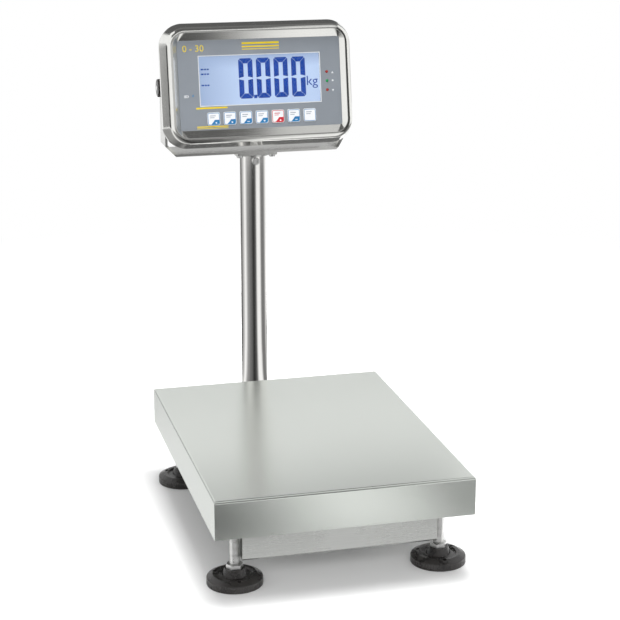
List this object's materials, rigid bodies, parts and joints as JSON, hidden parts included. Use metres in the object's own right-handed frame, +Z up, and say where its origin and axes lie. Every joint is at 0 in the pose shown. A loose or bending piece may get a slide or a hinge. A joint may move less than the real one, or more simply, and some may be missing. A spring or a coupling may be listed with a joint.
{
  "type": "platform scale",
  "caption": "Stainless platform scale with a lift-off pan, levelling feet, and a tilting display head with keys on a rear column.",
  "frame": {"origin": "on the floor under the middle of the overall outline", "axes": "+Z up, +X to the operator's right when facing the display, -Y towards the operator"},
  "size_m": [0.304, 0.521, 0.577],
  "materials": {
    "pan_steel": "satin",
    "frame_steel": "satin",
    "polished_steel": "polished",
    "bright_steel": "bright",
    "cell_aluminium": "anodised",
    "black_plastic": "satin",
    "black_rubber": "matte",
    "level_green": "gloss",
    "panel_grey": "satin",
    "window_clear": "clear",
    "display_blue": "satin",
    "board_green": "satin",
    "battery_grey": "matte",
    "lamp_red": "gloss",
    "key_white": "satin"
  },
  "bodies": {
    "base": {"front_cross_tube": "frame_steel", "rear_cross_tube": "frame_steel", "base_rail_left": "frame_steel", "base_rail_right": "frame_steel", "foot_lugs": "frame_steel", "foot_lock_nuts": "bright_steel", "overload_stops": "bright_steel", "load_cell": "cell_aluminium", "cell_base_plate": "frame_steel", "cell_spacers": "frame_steel", "cell_bolts": "bright_steel", "live_plate": "frame_steel", "live_long_arms": "frame_steel", "live_cross_arms": "frame_steel", "live_centre_rails": "frame_steel", "pan_buffers": "black_rubber", "spirit_level": "level_green", "base_gland": "black_plastic", "column_bracket": "frame_steel", "column_foot_plate": "frame_steel", "column_bolts": "bright_steel", "column_tube": "polished_steel", "clamp_screw": "bright_steel"},
    "pan": {"weighing_pan": "pan_steel"},
    "swivel": {"swivel_spigot": "frame_steel", "head_bracket": "frame_steel", "bracket_screws": "bright_steel"},
    "head": {"front_rim": "polished_steel", "face_panel": "panel_grey", "display_window": "window_clear", "display_module": "display_blue", "main_board": "board_green", "key_board": "board_green", "status_lamps": "lamp_red", "rear_shell": "polished_steel", "rim_gasket": "black_rubber", "tie_screws": "bright_steel", "battery_pack": "battery_grey", "head_glands": "black_plastic", "pivot_bushes": "bright_steel", "pivot_washers": "black_rubber"},
    "knob_left": {"knob_core_left": "bright_steel", "knob_cap_left": "black_plastic"},
    "knob_right": {"knob_core_right": "bright_steel", "knob_cap_right": "black_plastic"},
    "key_1": {"key_1": "key_white"},
    "key_2": {"key_2": "key_white"},
    "key_3": {"key_3": "key_white"},
    "key_4": {"key_4": "key_white"},
    "key_5": {"key_5": "key_white"},
    "key_6": {"key_6": "key_white"},
    "key_7": {"key_7": "key_white"},
    "pad_front_left": {"foot_pad_front_left": "black_plastic"},
    "stud_front_left": {"foot_stud_front_left": "bright_steel"},
    "pad_front_right": {"foot_pad_front_right": "black_plastic"},
    "stud_front_right": {"foot_stud_front_right": "bright_steel"},
    "pad_rear_left": {"foot_pad_rear_left": "black_plastic"},
    "stud_rear_left": {"foot_stud_rear_left": "bright_steel"},
    "pad_rear_right": {"foot_pad_rear_right": "black_plastic"},
    "stud_rear_right": {"foot_stud_rear_right": "bright_steel"}
  },
  "joints": [
    {"name": "pan_lift", "type": "slide", "parent": "base", "child": "pan", "axis": [0, 0, 1], "range_m": [0, 0.15]},
    {"name": "head_swivel", "type": "hinge", "parent": "base", "child": "swivel", "pos_m": [0, 0.2105, 0.403], "axis": [0, 0, 1], "range_deg": [-90, 90]},
    {"name": "head_tilt", "type": "hinge", "parent": "swivel", "child": "head", "pos_m": [0, 0.2105, 0.494], "axis": [-1, 0, 0], "range_deg": [-8, 35]},
    {"name": "knob_left_turn", "type": "hinge", "parent": "head", "child": "knob_left", "pos_m": [-0.118, 0.2105, 0.494], "axis": [-1, 0, 0], "range_deg": [0, 360]},
    {"name": "knob_right_turn", "type": "hinge", "parent": "head", "child": "knob_right", "pos_m": [0.118, 0.2105, 0.494], "axis": [1, 0, 0], "range_deg": [0, 360]},
    {"name": "key_1_press", "type": "slide", "parent": "head", "child": "key_1", "axis": [0, 0.9848, -0.1736], "range_m": [0, 0.0005], "stiffness_N_per_m": 1500, "springref_m": -0.0004},
    {"name": "key_2_press", "type": "slide", "parent": "head", "child": "key_2", "axis": [0, 0.9848, -0.1736], "range_m": [0, 0.0005], "stiffness_N_per_m": 1500, "springref_m": -0.0004},
    {"name": "key_3_press", "type": "slide", "parent": "head", "child": "key_3", "axis": [0, 0.9848, -0.1736], "range_m": [0, 0.0005], "stiffness_N_per_m": 1500, "springref_m": -0.0004},
    {"name": "key_4_press", "type": "slide", "parent": "head", "child": "key_4", "axis": [0, 0.9848, -0.1736], "range_m": [0, 0.0005], "stiffness_N_per_m": 1500, "springref_m": -0.0004},
    {"name": "key_5_press", "type": "slide", "parent": "head", "child": "key_5", "axis": [0, 0.9848, -0.1736], "range_m": [0, 0.0005], "stiffness_N_per_m": 1500, "springref_m": -0.0004},
    {"name": "key_6_press", "type": "slide", "parent": "head", "child": "key_6", "axis": [0, 0.9848, -0.1736], "range_m": [0, 0.0005], "stiffness_N_per_m": 1500, "springref_m": -0.0004},
    {"name": "key_7_press", "type": "slide", "parent": "head", "child": "key_7", "axis": [0, 0.9848, -0.1736], "range_m": [0, 0.0005], "stiffness_N_per_m": 1500, "springref_m": -0.0004},
    {"name": "foot_front_left_height", "type": "slide", "parent": "base", "child": "pad_front_left", "axis": [0, 0, 1], "range_m": [-0.012, 0.004]},
    {"name": "foot_front_left_turn", "type": "hinge", "parent": "pad_front_left", "child": "stud_front_left", "pos_m": [-0.12, -0.2205, 0.02], "axis": [0, 0, 1], "range_deg": [-2470, 825]},
    {"name": "foot_front_right_height", "type": "slide", "parent": "base", "child": "pad_front_right", "axis": [0, 0, 1], "range_m": [-0.012, 0.004]},
    {"name": "foot_front_right_turn", "type": "hinge", "parent": "pad_front_right", "child": "stud_front_right", "pos_m": [0.12, -0.2205, 0.02], "axis": [0, 0, 1], "range_deg": [-2470, 825]},
    {"name": "foot_rear_left_height", "type": "slide", "parent": "base", "child": "pad_rear_left", "axis": [0, 0, 1], "range_m": [-0.012, 0.004]},
    {"name": "foot_rear_left_turn", "type": "hinge", "parent": "pad_rear_left", "child": "stud_rear_left", "pos_m": [-0.12, 0.0995, 0.02], "axis": [0, 0, 1], "range_deg": [-2470, 825]},
    {"name": "foot_rear_right_height", "type": "slide", "parent": "base", "child": "pad_rear_right", "axis": [0, 0, 1], "range_m": [-0.012, 0.004]},
    {"name": "foot_rear_right_turn", "type": "hinge", "parent": "pad_rear_right", "child": "stud_rear_right", "pos_m": [0.12, 0.0995, 0.02], "axis": [0, 0, 1], "range_deg": [-2470, 825]}
  ],
  "couplings": [
    {"joint": "foot_front_left_turn", "follows": "foot_front_left_height", "rad_per_m": 3590.4},
    {"joint": "foot_front_right_turn", "follows": "foot_front_right_height", "rad_per_m": 3590.4},
    {"joint": "foot_rear_left_turn", "follows": "foot_rear_left_height", "rad_per_m": 3590.4},
    {"joint": "foot_rear_right_turn", "follows": "foot_rear_right_height", "rad_per_m": 3590.4}
  ]
}
